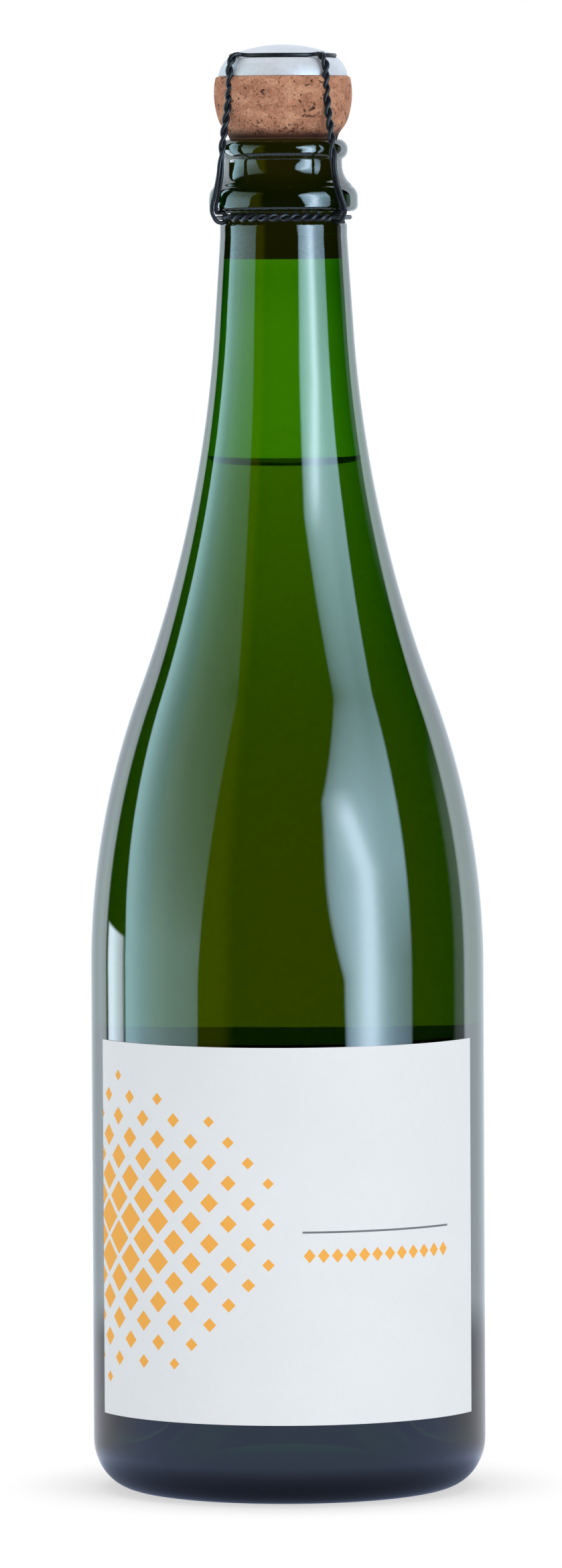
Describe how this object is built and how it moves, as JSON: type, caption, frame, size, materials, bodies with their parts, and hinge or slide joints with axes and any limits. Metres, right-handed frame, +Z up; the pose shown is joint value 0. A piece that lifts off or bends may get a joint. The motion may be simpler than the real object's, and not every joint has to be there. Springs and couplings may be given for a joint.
{
  "type": "sparkling wine bottle",
  "caption": "Full sparkling wine bottle: dark green punted glass, paper labels, mushroom cork, metal cap and twisted wire hood.",
  "frame": {"origin": "middle of the base, on the surface the bottle stands on", "axes": "+Z up along the bottle's axis; -Y out of the middle of the front label; +X to the right when facing the front label"},
  "size_m": [0.088, 0.089, 0.3231],
  "materials": {
    "green_glass": "polished",
    "white_wine": "gloss",
    "label_paper": "matte",
    "agglomerated_cork": "matte",
    "natural_cork": "matte",
    "tinned_steel": "satin",
    "black_wire": "gloss"
  },
  "bodies": {
    "bottle": {"glass_bottle": "green_glass", "wine": "white_wine", "front_label": "label_paper", "back_label": "label_paper"},
    "cork": {"cork_body": "agglomerated_cork", "cork_disc_upper": "natural_cork", "cork_disc_lower": "natural_cork"},
    "muselet": {"plaque": "tinned_steel", "wire_hood": "black_wire", "belt_wire_left": "black_wire", "belt_wire_right": "black_wire"},
    "twist": {"twist_stem": "black_wire"},
    "eye": {"twist_loop": "black_wire"}
  },
  "joints": [
    {"name": "cork_pull", "type": "slide", "parent": "bottle", "child": "cork", "axis": [0, 0, 1], "range_m": [0, 0.038], "deforming": ["wire_hood", "belt_wire_left", "belt_wire_right"]},
    {"name": "muselet_lift", "type": "slide", "parent": "cork", "child": "muselet", "axis": [0, 0, 1], "range_m": [0, 0.045], "deforming": ["wire_hood", "belt_wire_left", "belt_wire_right"]},
    {"name": "loop_fold", "type": "hinge", "parent": "muselet", "child": "twist", "pos_m": [0.00156, 0.01778, 0.28455], "axis": [0.9962, -0.0872, 0], "range_deg": [-145, 5]},
    {"name": "loop_turn", "type": "hinge", "parent": "twist", "child": "eye", "pos_m": [0.00187, 0.02136, 0.29442], "axis": [0.0298, 0.3407, 0.9397], "range_deg": [0, 1080]}
  ]
}
